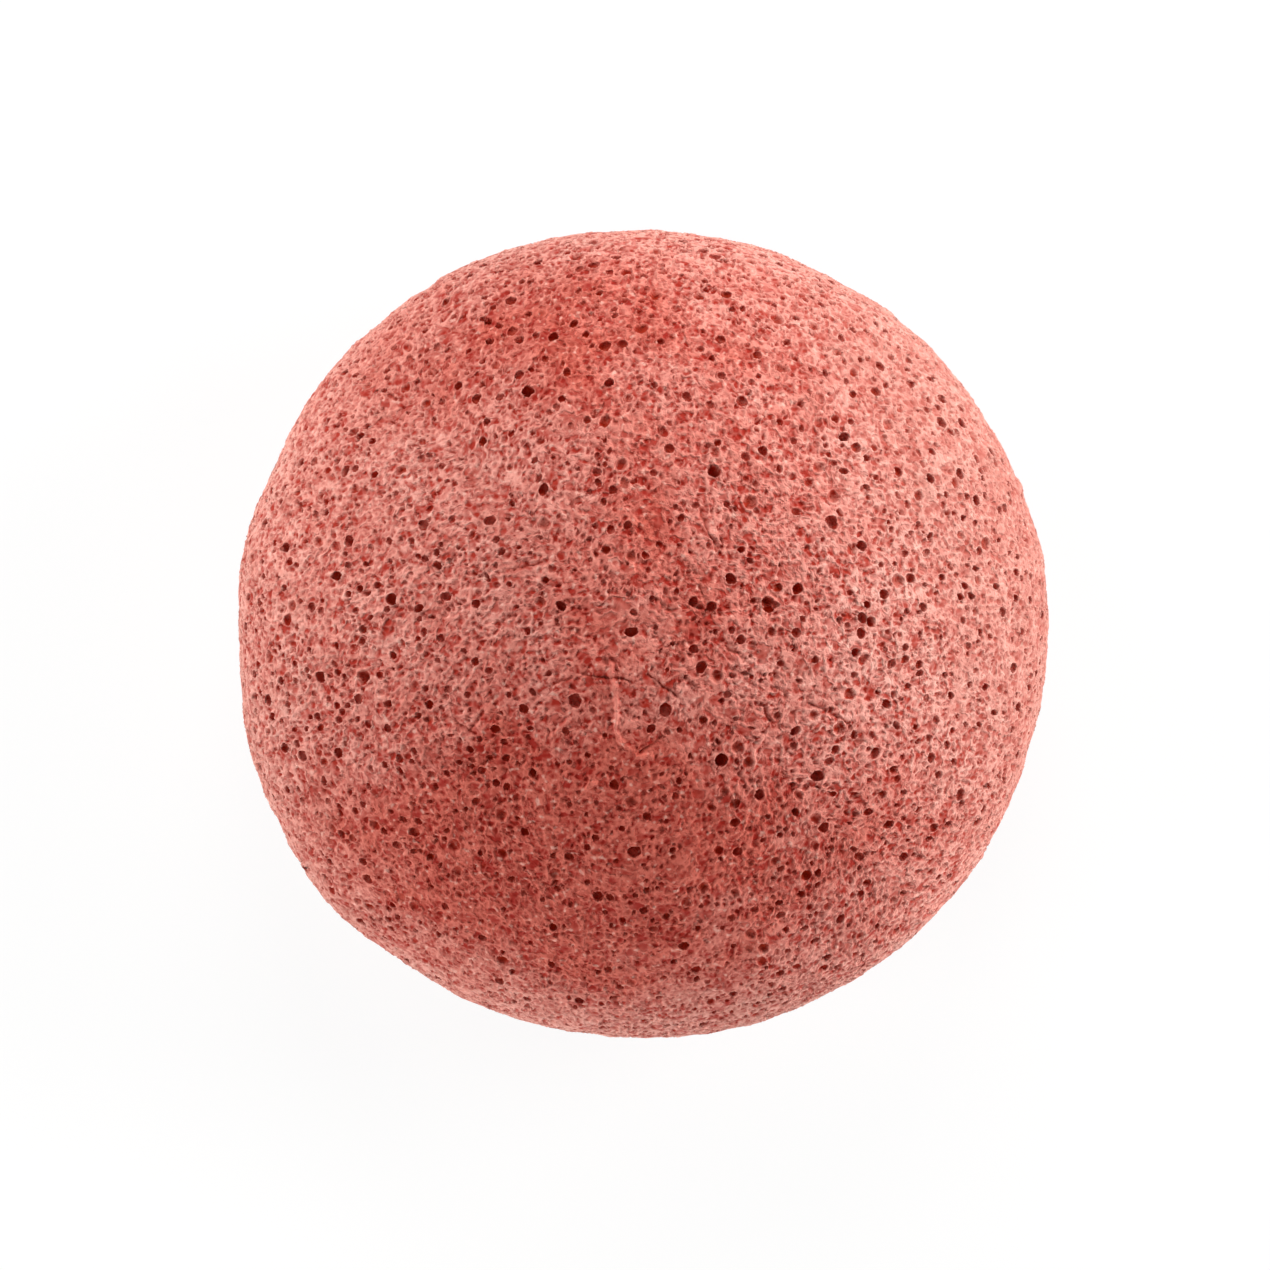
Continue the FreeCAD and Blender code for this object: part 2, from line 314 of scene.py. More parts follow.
class KonjacFinish(bpy.types.PropertyGroup):
    """Colours of the foam, which red clay tints all through."""

    # Pale of thin dried walls, and painted highlight where they stand up and round the open cells
    ridge_highlight: bpy.props.FloatVectorProperty(
        name="Ridges", description="Thin dry cell walls that stand up", subtype="COLOR", size=4,
        default=linear("#FFBFB0"))
    # Base red, which also stands as painted shade in the floors of the fine cells
    bowl: bpy.props.FloatVectorProperty(
        name="Bowls", description="Floors of the fine cells", subtype="COLOR", size=4,
        default=linear("#B63523"))
    # Clay red, which also darkens as painted shade, most in front
    red: bpy.props.FloatVectorProperty(
        name="Clay patches", description="Tint of the places where more clay settled",
        subtype="COLOR", size=4, default=linear("#E19B8F"))
    # Pale grey of dried patches, and painted light on the side towards the right lamp
    pale_dry_and_lit: bpy.props.FloatVectorProperty(
        name="Dry patches", description="Places where the foam dried paler and greyer",
        subtype="COLOR", size=4, default=linear("#E0A091"))
    # Painted glints: pale specks on the walls that stand for light caught there
    painted_glint: bpy.props.FloatVectorProperty(
        name="Flecks", description="Specks of dried gel on the walls", subtype="COLOR", size=4,
        default=linear("#FFC8B6"))
    # Painted shade: the dark red-brown that open cells, cracks and deep fine cells take, for the shade in
    # them
    cavity_shade: bpy.props.FloatVectorProperty(
        name="Open cells", description="Walls inside the open cells", subtype="COLOR", size=4,
        default=linear("#AC2A08"))


class KonjacStage(bpy.types.PropertyGroup):
    """Camera, lamps and floor."""

    camera_height: bpy.props.FloatProperty(
        name="Camera height", description="Height of the camera over the widest ring",
        default=EYE_HEIGHT, unit="LENGTH")
    lamp_level: bpy.props.FloatProperty(
        name="Lamp level", description="Factor on every lamp", default=1.0, min=0.0)
    sky_level: bpy.props.FloatProperty(
        name="Sky level", description="Strength of the even light from all round", default=0.08, min=0.0)
    floor: bpy.props.FloatVectorProperty(
        name="Floor", description="Colour of the floor", subtype="COLOR", size=4, default=linear("#F4F4F2"))


# Random fields that every run repeats. Each use of one adds a number of its own to the seed.


def smooth_step(value):
    """0 below 0, 1 above 1, and a smooth rise between."""
    value = np.clip(value, 0.0, 1.0)
    return value * value * (3.0 - 2.0 * value)


def table_rows(corners, seed):
    """Row of a random table for each corner of a whole-numbered lattice.

    The three numbers and the seed are multiplied by large odd numbers and their bits are combined,
    which scatters neighbours over the table.
    """
    mixed = corners[..., 0] * 73856093 ^ corners[..., 1] * 19349663 ^ corners[..., 2] * 83492791
    mixed = mixed ^ seed * 2654435761
    return (mixed ^ mixed >> 13) & (TABLE_ROWS - 1)


def waves(points, size, seed):
    """Smooth noise from about -1 to 1, on a lattice of the given spacing.

    Each corner of the lattice has a random slope. A point takes the slopes of the eight corners round
    it, faded into each other by a smooth step of its place between them.
    """
    slopes = np.random.default_rng(seed).normal(size=(TABLE_ROWS, 3))
    slopes /= np.linalg.norm(slopes, axis=1, keepdims=True)
    scaled = points / size
    low = np.floor(scaled).astype(np.int64)
    inside = scaled - low
    fade = inside ** 3 * (inside * (inside * 6.0 - 15.0) + 10.0)
    total = np.zeros(points.shape[:-1])
    for corner in itertools.product((0, 1), repeat=3):
        weight = np.prod(np.where(corner, fade, 1.0 - fade), axis=-1)
        total += weight * np.sum(slopes[table_rows(low + corner, seed)] * (inside - corner), axis=-1)
    return 1.6 * total


def foam_cells(points, size, seed):
    """Fine foam: distance from a cell's wall, and a random number for each cell.

    Every cube of a lattice holds one cell centre at a random place. A point belongs to the nearest
    centre, and it is on a wall where the second nearest is as near. The surface slices this foam
    at all depths, so its cells differ in size.
    """
    rng = np.random.default_rng(seed)
    places = 0.1 + 0.8 * rng.random((TABLE_ROWS, 3))
    marks = rng.random(TABLE_ROWS)
    scaled = points / size
    low = np.floor(scaled).astype(np.int64)
    nearest = np.full(points.shape[:-1], 9.0)
    second = nearest.copy()
    mark = np.zeros(points.shape[:-1])
    for step in itertools.product((-1, 0, 1), repeat=3):
        corner = low + step
        rows = table_rows(corner, seed)
        gap = np.linalg.norm(corner + places[rows] - scaled, axis=-1)
        nearer = gap < nearest
        second = np.where(nearer, nearest, np.minimum(second, gap))
        mark = np.where(nearer, marks[rows], mark)
        nearest = np.where(nearer, gap, nearest)
    return (second - nearest) * size, mark


# Outer form


def disc_grid(steps):
    """Share of the way out and angle about Z, for a square grid drawn out into a round one.

    The share is the larger of the two square coordinates, so squares become circles. The angle
    runs evenly along each side of a square.
    """
    line = np.linspace(-1.0, 1.0, steps + 1)
    first, second = np.meshgrid(line, line, indexing="ij")
    sideways = np.abs(first) >= np.abs(second)
    reach = np.where(sideways, first, second)
    other = np.where(sideways, second, first)
    turn = math.pi / 4.0 * other / np.where(reach == 0.0, 1.0, reach)
    around = np.where(sideways, turn, math.pi / 2.0 - turn) + np.where(reach < 0.0, math.pi, 0.0)
    return np.abs(reach), around


def grid_place(share, around, steps):
    """Grid row and column of a share of the way out and an angle: disc_grid the other way round."""
    around = (around + math.pi / 4.0) % (2.0 * math.pi)
    quarter = np.floor(around / (math.pi / 2.0))
    side = share * ((around - quarter * math.pi / 2.0) * 4.0 / math.pi - 1.0)
    first = np.choose(quarter.astype(int), (share, -side, -share, side))
    second = np.choose(quarter.astype(int), (side, share, -side, -share))
    return (first + 1.0) * steps / 2.0, (second + 1.0) * steps / 2.0


def dome_arcs(form):
    """Radius of the crown's arc and the angle above the ring where the shoulder's arc meets it.

    The crown's centre is on the axis, and the shoulder's is on the ring's level. The distance
    between them is the difference of the two radii, so the arcs meet without a crease.
    """
    across = form.rim_radius - form.shoulder_radius
    up = form.crown_height - form.rim_height - form.shoulder_radius
    crown = form.shoulder_radius + (across ** 2 + up ** 2) / (2.0 * up)
    return crown, math.asin((crown - up - form.shoulder_radius) / (crown - form.shoulder_radius))


def dome_length(form):
    """Arc length from the crown's top down to the widest ring: each arc's radius times its angle."""
    crown, turn = dome_arcs(form)
    return crown * (math.pi / 2.0 - turn) + form.shoulder_radius * turn


def dome_outline(form, arc):
    """Radius and height of the dome at arc lengths from the crown's top down to the widest ring."""
    crown, turn = dome_arcs(form)
    on_crown = math.pi / 2.0 - arc / crown
    on_shoulder = (dome_length(form) - arc) / form.shoulder_radius
    flatter = on_crown > turn
    angle = np.where(flatter, on_crown, on_shoulder)
    radius = np.where(flatter, crown, form.shoulder_radius)
    middle = np.where(flatter, 0.0, form.rim_radius - form.shoulder_radius)
    level = np.where(flatter, form.crown_height - crown, form.rim_height)
    return middle + radius * np.cos(angle), level + radius * np.sin(angle)


def picture_place(form, table):
    """Places on X and Y of the dome's points at columns and rows of the reference picture.

    The dome nears the eye towards the crown and looks larger there, so the places are drawn in.
    """
    scale = form.rim_radius / PICTURE_RADIUS_PX
    east = (table[:, 0] - PICTURE_CENTRE_PX[0]) * scale
    north = (PICTURE_CENTRE_PX[1] - table[:, 1]) * scale
    radius, height = dome_outline(form, np.linspace(0.0, dome_length(form), ARC_SAMPLES))
    seen = radius * (1.0 + (height - form.rim_height) / EYE_HEIGHT)
    out = np.hypot(east, north)
    drawn_in = np.interp(out, seen, radius) / out
    return east * drawn_in, north * drawn_in


def base_length(form):
    """Arc length from the middle of the flat side to the widest ring: a radius and a quarter circle."""
    return form.rim_radius - form.rim_height + form.rim_height * math.pi / 2.0


def base_outline(form, arc):
    """Radius and height of the flat side at arc lengths from its middle out to the widest ring.

    The dish's height falls off as a power of one less the squared radius, so it meets the foot ring
    without a crease. After the flat foot ring comes a quarter of a circle up to the widest ring.
    """
    flat = form.rim_radius - form.rim_height
    dish = np.clip(arc / (flat - form.foot_ring_width), 0.0, 1.0)
    bend = np.clip((arc - flat) / form.rim_height, 0.0, None)
    radius = np.where(bend > 0.0, flat + form.rim_height * np.sin(bend), arc)
    height = form.dish_depth * (1.0 - dish ** 2) ** 1.6 + form.rim_height * (1.0 - np.cos(bend))
    return radius, height


def spun(outline, form, arc, around, outward):
    """Points and outward normals where an outline, turned about Z, has given arc lengths and angles.

    The normal is square to the outline's direction, which is the difference of two near points.
    """
    step = 0.001 * MM
    radius, height = outline(form, arc)
    before, after = outline(form, arc - step), outline(form, arc + step)
    out, up = after[0] - before[0], after[1] - before[1]
    size = outward * np.hypot(out, up)
    points = np.stack([radius * np.cos(around), radius * np.sin(around), height], axis=-1)
    normals = np.stack([-up / size * np.cos(around), -up / size * np.sin(around), out / size], axis=-1)
    return points, normals


def bulk_relief(form, cells, points):
    """Height of the bulges, dents and gentle waves that both pieces of foam share.

    Each bulge of the outline is a bell curve of the angle about Z, strongest at the widest ring. The
    dents are smooth noise of three sizes.
    """
    around = np.degrees(np.arctan2(points[..., 1], points[..., 0]))
    low = np.exp(-((points[..., 2] - form.rim_height) / BULGE_REACH) ** 2)
    height = np.zeros(points.shape[:-1])
    for place, width, rise in OUTLINE_BULGES:
        apart = (around - place + 180.0) % 360.0 - 180.0
        height += rise * np.exp(-(apart / width) ** 2) * low
    for number, (spacing, rise, at_ring) in enumerate(DENTS, 1):
        height += (rise + at_ring * low) * waves(points, spacing * MM, cells.seed + number)
    return height * form.unevenness * MM


def near_lines(form, points, lines):
    """Distance from the points to the nearest of the dome's drawn lines, in metres.

    It is the distance to each straight piece of a line, seen along Z. Places under the dome are far off.
    """
    nearest = np.full(points.shape[:-1], 1.0)
    for line in lines:
        east, north = picture_place(form, np.array(line, float))
        nodes = np.stack([east, north], axis=-1)
        near = np.linalg.norm(points[..., :2] - nodes.mean(0), axis=-1) < LINE_REACH
        near &= points[..., 2] > form.rim_height
        flat = points[near][:, :2]
        apart = nearest[near]
        for start, end in zip(nodes[:-1], nodes[1:]):
            along = end - start
            share = np.clip((flat - start) @ along / (along @ along), 0.0, 1.0)
            apart = np.minimum(apart, np.linalg.norm(flat - start - share[:, None] * along, axis=-1))
        nearest[near] = apart
    return nearest


def stray_lines(points, warped, seed, spacing, width, height, patch, gain, offset):
    """Bell curves about the zeros of a noise on the warped points, where a second noise lets them run."""
    line = np.exp(-(waves(warped, spacing * MM, seed) / width) ** 2)
    return line * height * smooth_step(waves(points, patch * MM, seed + 1) * gain + offset)


def creases(form, cells, points):
    """Height of raised strands and depth of hairline cracks, both from 0 to 1.

    Both are bell curves of the distance to the drawn lines, which a smooth noise bends a little. More
    lines run where a drawn-out noise is zero, broken up by a second noise.
    """
    bent = points + 0.32 * MM * waves(points, 1.3 * MM, cells.seed + 10)[..., None]
    broken = smooth_step(0.85 + waves(points, 1.6 * MM, cells.seed + 9))
    strand = np.exp(-(near_lines(form, bent, STRANDS_PX) / STRAND_WIDTH) ** 2) * broken
    crack = np.exp(-(near_lines(form, bent, CRACKS_PX) / CRACK_WIDTH) ** 2) * broken
    drawn_out = points * (1.0, 0.55, 0.8)
    warped = drawn_out + 0.5 * MM * waves(points, 1.4 * MM, cells.seed + 11)[..., None]
    strand = np.maximum(strand, stray_lines(points, warped, cells.seed + 12, *STRAY_STRANDS))
    crack = np.maximum(crack, stray_lines(points, warped, cells.seed + 14, *STRAY_CRACKS))
    return strand, crack


def clay_and_painted_shade(form, cells, points):
    """How much clay red and painted shade the foam takes, from 0 to 1: bell-shaped patches, made uneven by
    two noises.

    The patches belong to the dome and fade out below the widest ring, where the noise alone is left.
    """
    clay_and_shade = np.zeros(points.shape[:-1])
    for east, north, wide, deep, much in CLAY_AND_SHADE_PATCHES:
        off = (points[..., 0] / MM - east) / wide, (points[..., 1] / MM - north) / deep
        clay_and_shade += much * np.exp(-off[0] ** 2 - off[1] ** 2)
    clay_and_shade *= smooth_step((points[..., 2] / form.rim_height - CLAY_START_SHARE) / CLAY_RISE_SHARE)
    clay_and_shade += CLAY_LOW_GAIN * (1.0 - points[..., 2] / form.crown_height)
    clay_and_shade *= 1.0 + CLAY_PATCHY[1] * waves(points, CLAY_PATCHY[0] * MM, cells.seed + 61)
    clay_and_shade += CLAY_SPOTTY[1] * waves(points, CLAY_SPOTTY[0] * MM, cells.seed + 62)
    return np.clip(clay_and_shade, 0.0, 1.0)


def dry_patches_and_lit_side(form, cells, points):
    """How far the walls turn to one pale colour, from 0 to 1: dried patches, and painted light on one side.

    Patches come from a smooth noise, and a larger one, painted light, lies on the side towards the right
    lamp.
    """
    patches = smooth_step(waves(points, DRY_PATCH_MM * MM, cells.seed + 63) * 1.6 - 0.2)
    turn = math.radians(LIT_SIDE_DEGREES)
    facing = (points[..., 0] * math.cos(turn) + points[..., 1] * math.sin(turn)) / form.rim_radius
    side = smooth_step((facing - LIT_SIDE_START_SHARE) / LIT_SIDE_RISE_SHARE)
    return np.clip(DRY_PATCH_SHARE * patches + LIT_SIDE_SHARE * side, 0.0, 1.0)


# Open cells


def picture_cells(form):
    """Arc length, angle and opening of the dome's cells that the reference picture shows."""
    table = np.array(LARGE_CELLS_PX + MIDDLE_CELLS_PX + SMALL_CELLS_PX, float)
    east, north = picture_place(form, table)
    arcs = np.linspace(0.0, dome_length(form), ARC_SAMPLES)
    arc = np.interp(np.hypot(east, north), dome_outline(form, arcs)[0], arcs)
    return arc, np.arctan2(north, east), table[:, 2] * form.rim_radius / PICTURE_RADIUS_PX


def crowding(form, points):
    """How thick the open cells lie: thin on the crown and in front, thick out to the left and right."""
    east, north = points[..., 0] / form.rim_radius, points[..., 1] / form.rim_radius
    out = np.where(points[..., 2] > form.rim_height, np.hypot(east, north), BELOW_RING_SHARE)
    thick = CROWDING["all"] + CROWDING["out"] * out + CROWDING["behind"] * north
    thick += CROWDING["sides"] * east ** 2 + CROWDING["right"] * smooth_step((east - 0.4) / 0.3)
    thick += CROWDING["quarters"] * np.clip(-4.0 * east * north, 0.0, 1.0)
    return np.clip(thick + CROWDING["chance"] * waves(points, CROWDING_SPACING, CROWDING_SEED),
                   FEWEST_SHARE, 1.0)


def scatter(form, cells, outline, outward, length, known):
    """Open cells of one piece, as arrays: places, normals, arc, around, mouth, depth and bulb.

    Cells thrown at random are kept only where they clear all earlier ones and the widest ring. A
    throw is even over the surface, because its arc length is drawn by the area out to there.
    """
    rng = np.random.default_rng(cells.seed + (21 if outward > 0 else 22))
    arcs = np.linspace(0.0, length, ARC_SAMPLES)
    area = np.cumsum(outline(form, arcs)[0])
    square_cm = 2.0 * math.pi * area[-1] * (arcs[1] - arcs[0]) * 1e4
    kinds = []
    if known is not None:
        arc, around, mouth = known
        wide = mouth > WIDE_OPENING
        kinds.append((arc, around, mouth, 0.5 + 0.35 * rng.random(len(arc)) + 0.15 * wide,
                      rng.random(len(arc)) < 0.45 + 0.4 * wide))
    for smallest, largest, per_cm, depth, bulb in SCATTERED_CELLS:
        count = int(square_cm * per_cm * cells.open_share * THROWS)
        arc = np.interp(rng.random(count), area / area[-1], arcs)
        mouth = (smallest + (largest - smallest) * rng.random(count) ** 1.6) * MM
        kinds.append((arc, rng.random(count) * 2.0 * math.pi, mouth, depth * (0.75 + 0.5 * rng.random(count)),
                      np.full(count, bulb)))
    arc, around, mouth, depth, bulb = (np.concatenate(column) for column in zip(*kinds))
    places, normals = spun(outline, form, arc, around, outward)
    wanted = rng.random(len(arc)) < crowding(form, places)
    wanted &= length - arc > mouth * 0.75 + RING_GAP
    first = 0 if known is None else len(known[0])
    kept = list(range(first))
    for cell in first + np.flatnonzero(wanted[first:]):
        apart = np.linalg.norm(places[kept] - places[cell], axis=1)
        share = MERGED_SHARE if rng.random() < MERGED_CHANCE else APART_SHARE
        clear = (mouth[kept] + mouth[cell]) * share + CELL_GAP
        if not np.any(apart < clear):
            kept.append(cell)
    return places[kept], normals[kept], arc[kept], around[kept], mouth[kept], depth[kept], bulb[kept]


def carve(points, open_cells, length, seed):
    """Shift of every grid point that makes the open cells, with the painted shade of the cell walls, which
    grows with depth, and how near a lip it is.

    A cell that widens is a ball cut by its mouth: a point at a share of the way from the middle to
    the mouth's edge goes to the same share of the angle from the ball's bottom to that edge. A plain
    cell is half an ellipsoid. The mouth is an oval whose edge wavers with the angle. Where two cells
    run together, a point goes where the deeper one takes it.
    """
    rng = np.random.default_rng(seed)
    steps = len(points) - 1
    ragged = 1.0 + EDGE_NOISE[1] * waves(points, EDGE_NOISE[0], seed + 1)
    lumpy = 1.0 + FLOOR_NOISE[1] * waves(points, FLOOR_NOISE[0], seed + 2)
    shift = np.zeros(points.shape)
    hollow_shade, lip, calm, deepest = (np.zeros(points.shape[:-1]) for _ in range(4))
    for place, normal, arc, around, mouth, depth, bulb in zip(*open_cells):
        row, column = grid_place(np.array(arc / length), np.array(around), steps)
        reach = int(mouth * 1.7 / FULL_GRID_STEP * steps / FULL_STEPS) + 3
        window = (slice(max(int(row) - reach, 0), int(row) + reach + 2),
                  slice(max(int(column) - reach, 0), int(column) + reach + 2))
        near = points[window] - place
        along = np.cross(normal, (math.cos(around * 7.0), math.sin(around * 7.0), 0.3))
        along /= np.linalg.norm(along)
        across = np.cross(normal, along)
        oval = 1.0 + 0.5 * rng.random() ** 1.5
        flat_x, flat_y = near @ along, near @ across * oval
        angle = np.arctan2(flat_y, flat_x)
        waver = 1.0
        for lobes in WAVER_LOBES:
            waver = waver + rng.normal() * WAVER / lobes ** 0.5 * np.cos(
                lobes * angle + rng.random() * WAVER_TURN)
        edge = mouth / 2.0 * waver * ragged[window]
        share = np.hypot(flat_x, flat_y) / edge
        inside = share < 1.0
        flat = near - (near @ normal)[..., None] * normal
        ball = mouth / 2.0 * (1.06 + 0.16 * depth)
        if bulb:
            turn = np.clip(share, 0.0, 1.0) * (math.pi - math.asin(mouth / 2.0 / ball))
            sunk = (math.sqrt(ball ** 2 - mouth ** 2 / 4.0) + ball * np.cos(turn)) * depth
            spread = ball * np.sin(turn) / (mouth / 2.0 * np.maximum(share, 0.02)) - 1.0
        else:
            sunk = mouth * depth * np.sqrt(np.clip(1.0 - share ** 2, 0.0, 1.0))
            spread = np.zeros(share.shape)
        sunk = sunk * lumpy[window]
        deeper = inside & (sunk > deepest[window])
        moved = flat * spread[..., None] - normal * sunk[..., None]
        shift[window] = np.where(deeper[..., None], moved, shift[window])
        # Painted shade: the wall grows darker with depth, where shade falls in the cell
        depth_shade = (0.4 + 0.6 * rng.random()) * smooth_step(sunk / DARK_DEPTH) * np.clip(lumpy[window], 0.6, 1.0)
        hollow_shade[window] = np.where(deeper, depth_shade, hollow_shade[window])
        deepest[window] = np.where(deeper, sunk, deepest[window])
        rise = np.exp(-((share - LIP_PLACE_SHARE) / LIP_WIDTH_SHARE) ** 2)
        rise *= min(mouth / FULL_LIP_OPENING, 1.0)
        lip[window] = np.maximum(lip[window], rise)
        calm[window] = np.maximum(calm[window], smooth_step((CALM_END_SHARE - share) / 0.4))
    lip *= deepest == 0.0
    return shift, hollow_shade, lip, calm


def foam_surface(form, cells, outline, outward, length, known=None):
    """Points of one piece of foam on a square grid, with the masks that colour it: ridges with painted
    highlight, hollows with painted shade, clay red with painted shade, and dried patches with painted light.

    Bulk relief, creases and fine cells are laid on along the normal, and the open cells are carved
    through them. All but the open cells depends only on the place in space, and these keep clear of
    the widest ring, so the two pieces meet there point for point.
    """
    share, around = disc_grid(cells.steps)
    arc = share * length
    points, normals = spun(outline, form, arc, around, outward)
    bulk = bulk_relief(form, cells, points)
    warped = points + BEND * np.stack(
        [waves(points, BEND_SPACING, cells.seed + place) for place in (31, 32, 33)], axis=-1)
    wall, mark = foam_cells(warped, cells.fine_size, cells.seed + 41)
    strand, crack = creases(form, cells, points)
    bowl = smooth_step(wall / (WALL_SHARE * cells.fine_size))
    deep = mark > 1.0 - DEEP_SHARE
    drop = np.where(deep, DEEP_DROP, 0.25 + mark * 7.0 % 1.0)
    bowl = np.where(deep, smooth_step((wall / cells.fine_size - 0.12) / 0.35), bowl)
    # Clay red and painted shade, most in front
    clay_and_shade = clay_and_painted_shade(form, cells, points)
    uneven = 0.8 + 0.7 * waves(points, UNEVEN_SPACING, cells.seed + 42)
    uneven *= 0.96 + 0.26 * smooth_step((LOW_HEIGHT - points[..., 2]) / LOW_RISE)
    # Dried patches, and painted light on the side towards the right lamp
    dry_and_lit = dry_patches_and_lit_side(form, cells, points)
    uneven *= (1.0 - 0.2 * clay_and_shade) * (1.0 - 0.45 * dry_and_lit)
    open_cells = scatter(form, cells, outline, outward, length, known)
    shift, hollow_shade, lip, calm = carve(points, open_cells, length, cells.seed + 51)
    bowl = bowl * (1.0 - 0.7 * strand)
    fine = (-bowl * drop * cells.fine_depth * uneven + strand * STRAND_HEIGHT) * (1.0 - 0.8 * calm)
    fine += lip * LIP_HEIGHT - crack * CRACK_DEPTH * (1.0 - calm)
    points = points + normals * (bulk + fine)[..., None] + shift
    # Pale mask: the walls' own paleness, and painted highlight on ridges, raised strands and the lips round
    # the open cells
    ridge_highlight = (1.0 - bowl) * np.clip(uneven, 0.2, 1.3)
    ridge_highlight = np.maximum(ridge_highlight * (1.0 - 0.6 * calm), np.maximum(strand * 1.7, lip * 1.5))
    # Painted shade: the deep fine cells, the floors of the others and the cracks darken
    depth_shade = np.where(deep, 0.8 * bowl * (1.0 - 0.4 * clay_and_shade), 0.12 * bowl * drop)
    hollow_shade = np.maximum(hollow_shade, np.maximum(depth_shade, crack * 0.55) * (1.0 - calm))
    hollow_shade = np.clip(hollow_shade, 0.0, 1.0)
    return points, {"ridge_highlight": np.clip(ridge_highlight, 0.0, 1.7), "hollow_shade": hollow_shade, "clay_and_shade": clay_and_shade, "dry_and_lit": dry_and_lit}


def closed_piece(name, points, attributes, level, outward):
    """Mesh piece of a square grid of points, closed by a hidden fan from its border to the axis.

    Its UV map is the grid itself, with the fan in a strip along one side.
    """
    rows = len(points)
    numbers = np.arange(rows * rows).reshape(rows, rows)
    quads = np.stack([numbers[:-1, :-1], numbers[1:, :-1], numbers[1:, 1:], numbers[:-1, 1:]], axis=-1)
    border = np.concatenate([numbers[:-1, 0], numbers[-1, :-1], numbers[:0:-1, -1], numbers[0, :0:-1]])
    middle = np.full(len(border), rows * rows)
    fan = np.stack([middle, np.roll(border, -1), border], axis=-1)
    if outward < 0:
        quads, fan = quads[..., ::-1], fan[:, ::-1]
    quads = quads.reshape(-1, 4)
    corners = np.concatenate([quads.ravel(), fan.ravel()])
    starts = np.concatenate([np.arange(len(quads)) * 4, len(quads) * 4 + np.arange(len(fan)) * 3])
    places = np.vstack([points.reshape(-1, 3), [[0.0, 0.0, level]]])
    mesh = bpy.data.meshes.new(name)
    mesh.vertices.add(len(places))
    mesh.vertices.foreach_set("co", places.ravel())
    mesh.loops.add(len(corners))
    mesh.loops.foreach_set("vertex_index", corners)
    mesh.polygons.add(len(starts))
    mesh.polygons.foreach_set("loop_start", starts)
    mesh.polygons.foreach_set("use_smooth", np.arange(len(starts)) < len(quads))
    for label, values in attributes.items():
        layer = mesh.attributes.new(label, "FLOAT", "POINT")
        layer.data.foreach_set("value", np.append(values.ravel(), 0.5))
    line = np.linspace(0.0, 1.0, rows)
    across, down = np.meshgrid(line, line, indexing="ij")
    across = UV_MARGIN + (1.0 - 2.0 * UV_MARGIN) * across
    down = UV_STRIP + (1.0 - UV_STRIP - UV_MARGIN) * down
    grid_uv = np.stack([across.ravel(), down.ravel()], axis=-1)[quads.ravel()]
    turn = np.arange(len(fan)) / len(fan)
    fan_uv = np.stack([[0.5 + 0 * turn, 0.02 + 0 * turn], [turn, 0.004 + 0 * turn], [turn, 0.005 + 0 * turn]])
    uv = mesh.uv_layers.new(name="OFBake")
    uv.data.foreach_set("uv", np.vstack([grid_uv, fan_uv.transpose(2, 0, 1).reshape(-1, 2)]).ravel())
    mesh.update(calc_edges=True)
    mesh.validate()
    piece = bpy.data.objects.new(name, mesh)
    bpy.context.scene.collection.objects.link(piece)
    return piece


# Finishes


def fresh(owners, name):
    """Material or world of this name, with no nodes yet."""
    owner = owners.get(name) or owners.new(name)
    owner.use_nodes = True
    owner.node_tree.nodes.clear()
    return owner


def add_node(owner, kind, inputs=(), **settings):
    """Node of a material or world with its settings, and each input set to a value or linked."""
    node = owner.node_tree.nodes.new(kind)
    for key, value in settings.items():
        setattr(node, key, value)
    for key, value in dict(inputs).items():
        if isinstance(value, bpy.types.NodeSocket):
            owner.node_tree.links.new(value, node.inputs[key])
        else:
            node.inputs[key].default_value = value
    return node


